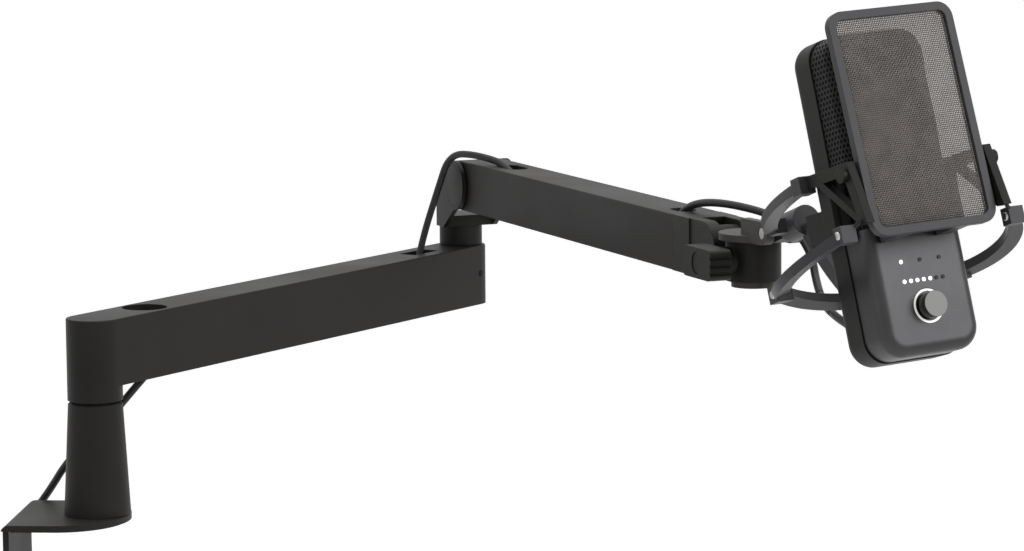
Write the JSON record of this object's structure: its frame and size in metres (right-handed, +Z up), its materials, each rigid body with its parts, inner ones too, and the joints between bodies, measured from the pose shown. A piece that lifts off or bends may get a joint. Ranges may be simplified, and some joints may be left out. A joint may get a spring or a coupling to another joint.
{
  "type": "microphone boom arm",
  "caption": "Low desk-clamp boom arm with a swivelling lower beam, tilting upper beam and a knuckle that carries a side-address microphone in an elastic shock mount.",
  "frame": {"origin": "on the desk top under the post, at the underside of the clamp pad", "axes": "+Z up along the post, +X into the desk away from its edge, +Y along the desk edge"},
  "size_m": [0.5846, 0.56, 0.4182],
  "materials": {
    "coated_steel": "fine black powder coat on steel",
    "coated_alloy": "fine black powder coat on aluminium",
    "bare_steel": "turned, lightly oiled",
    "black_steel": "black oxide",
    "cast_black": "die-cast, black",
    "grey_flange": "satin dark grey",
    "matte_plastic": "fine moulded grain, black",
    "grey_plastic": "fine moulded grain, charcoal",
    "satin_cover": "satin black",
    "bearing_plastic": "natural acetal",
    "rubber_pad": "matt rubber",
    "elastic": "braided elastic",
    "grille_metal": "perforated steel, black",
    "mesh_metal": "fine woven mesh, charcoal",
    "lamp_white": "lit lens",
    "lamp_dark": "unlit lens",
    "white_ring": "satin white",
    "dial_metal": "satin charcoal",
    "board_green": "solder resist",
    "capsule_metal": "satin",
    "cable_jacket": "soft black jacket",
    "tie_fabric": "hook-and-loop strap"
  },
  "bodies": {
    "clamp": {"clamp_bracket": "coated_steel", "desk_pad": "rubber_pad", "jaw_nut": "bare_steel", "post_sleeve": "coated_alloy", "post_spindle": "bare_steel", "post_bolt": "black_steel", "thrust_washer": "bearing_plastic", "cable_base": "cable_jacket", "cable_coil": "cable_jacket", "cable_tail": "cable_jacket", "cable_tie": "tie_fabric", "desk_plug": "matte_plastic"},
    "clamp_foot": {"pressure_foot": "coated_steel", "foot_pad": "rubber_pad"},
    "clamp_spindle": {"clamp_screw": "bare_steel", "clamp_knob": "matte_plastic"},
    "lower_arm": {"lower_beam": "coated_alloy", "lower_channel_cover": "matte_plastic", "hub_bush": "bearing_plastic", "elbow_bush": "bearing_plastic", "arm_set_screws": "black_steel", "cable_lower_run": "cable_jacket"},
    "elbow": {"elbow_spindle": "bare_steel", "elbow_washer": "bearing_plastic", "elbow_yoke": "cast_black", "tilt_bolt": "black_steel", "friction_washers": "bearing_plastic", "cheek_caps": "matte_plastic", "cable_elbow_loop": "cable_jacket"},
    "upper_arm": {"upper_beam": "coated_alloy", "upper_channel_cover": "matte_plastic", "end_cap": "matte_plastic", "cap_screw": "black_steel", "head_pin": "bare_steel", "cable_upper_run": "cable_jacket"},
    "head_knuckle": {"knuckle": "cast_black"},
    "wing": {"wing_knob": "matte_plastic", "wing_cap": "matte_plastic", "wing_screw": "bare_steel"},
    "head_swivel_stem": {"swivel_stem": "grey_flange", "stem_retainer": "black_steel", "mount_pin": "bare_steel", "cable_head_loop": "cable_jacket"},
    "mount_block": {"tilt_block": "cast_black"},
    "mount_frame": {"shock_frame": "grey_plastic", "elastic_bands": "elastic"},
    "microphone": {"mic_cradle": "matte_plastic", "mic_housing": "matte_plastic", "mic_front_cover": "satin_cover", "mic_grille": "grille_metal", "mic_capsule": "capsule_metal", "mic_board": "board_green", "dial_ring": "white_ring", "lamps_lit": "lamp_white", "lamps_unlit": "lamp_dark", "mic_plug": "matte_plastic"},
    "dial_spindle": {"dial_shaft": "bare_steel"},
    "dial_knob": {"gain_dial": "dial_metal"},
    "pop_screen": {"pop_frame": "grey_plastic", "pop_mesh": "mesh_metal"}
  },
  "joints": [
    {"name": "clamp_travel", "type": "slide", "parent": "clamp", "child": "clamp_foot", "axis": [0, 0, 1], "range_m": [-0.0255, 0.02]},
    {"name": "clamp_turn", "type": "hinge", "parent": "clamp_foot", "child": "clamp_spindle", "pos_m": [-0.008, 0, -0.09], "axis": [0, 0, 1], "range_deg": [-3120, 2460]},
    {"name": "base_swivel", "type": "hinge", "parent": "clamp", "child": "lower_arm", "pos_m": [0, 0, 0.0667], "axis": [0, 0, 1], "range_deg": [-120, 120], "deforming": ["cable_base"]},
    {"name": "elbow_swivel", "type": "hinge", "parent": "lower_arm", "child": "elbow", "pos_m": [0.1691, 0.32346, 0.1113], "axis": [0, 0, 1], "range_deg": [-10, 125], "deforming": ["cable_elbow_loop"]},
    {"name": "elbow_tilt", "type": "hinge", "parent": "elbow", "child": "upper_arm", "pos_m": [0.18427, 0.29304, 0.1519], "axis": [-0.8949, -0.4462, 0], "range_deg": [-15, 60], "deforming": ["cable_elbow_loop"]},
    {"name": "head_tilt", "type": "hinge", "parent": "upper_arm", "child": "head_knuckle", "pos_m": [0.34044, -0.02019, 0.1519], "axis": [-0.8949, -0.4462, 0], "range_deg": [-45, 45], "deforming": ["cable_head_loop"]},
    {"name": "wing_turn", "type": "hinge", "parent": "head_knuckle", "child": "wing", "pos_m": [0.33771, -0.05954, 0.1499], "axis": [0.8949, 0.4462, 0], "continuous": true},
    {"name": "head_swivel", "type": "hinge", "parent": "head_knuckle", "child": "head_swivel_stem", "pos_m": [0.35561, -0.05062, 0.1607], "axis": [0, 0, 1], "range_deg": [-35, 60], "deforming": ["cable_head_loop"]},
    {"name": "mount_tilt", "type": "hinge", "parent": "head_swivel_stem", "child": "mount_block", "pos_m": [0.3692, -0.07279, 0.1668], "axis": [-0.8526, -0.5225, 0], "range_deg": [-45, 25], "deforming": ["cable_head_loop"]},
    {"name": "frame_turn", "type": "hinge", "parent": "mount_block", "child": "mount_frame", "pos_m": [0.37514, -0.08248, 0.17063], "axis": [0.4952, -0.8081, 0.319], "range_deg": [-45, 45], "deforming": ["cable_head_loop"]},
    {"name": "cradle_bounce", "type": "slide", "parent": "mount_frame", "child": "microphone", "axis": [-0.1922, 0.2069, 0.9593], "range_m": [-0.003, 0.003], "stiffness_N_per_m": 1800, "springref_m": 0.0021, "deforming": ["elastic_bands", "cable_head_loop"]},
    {"name": "dial_turn", "type": "hinge", "parent": "microphone", "child": "dial_spindle", "pos_m": [0.44195, -0.18473, 0.14494], "axis": [0.5041, -0.8179, 0.2774], "continuous": true},
    {"name": "dial_push", "type": "slide", "parent": "dial_spindle", "child": "dial_knob", "axis": [-0.5041, 0.8179, -0.2774], "range_m": [0, 0.0008], "stiffness_N_per_m": 900, "springref_m": -0.002},
    {"name": "pop_pull", "type": "slide", "parent": "microphone", "child": "pop_screen", "axis": [0.4952, -0.8081, 0.319], "range_m": [0, 0.03]}
  ],
  "couplings": [
    {"joint": "clamp_turn", "follows": "clamp_travel", "rad_per_m": 2094.4}
  ]
}
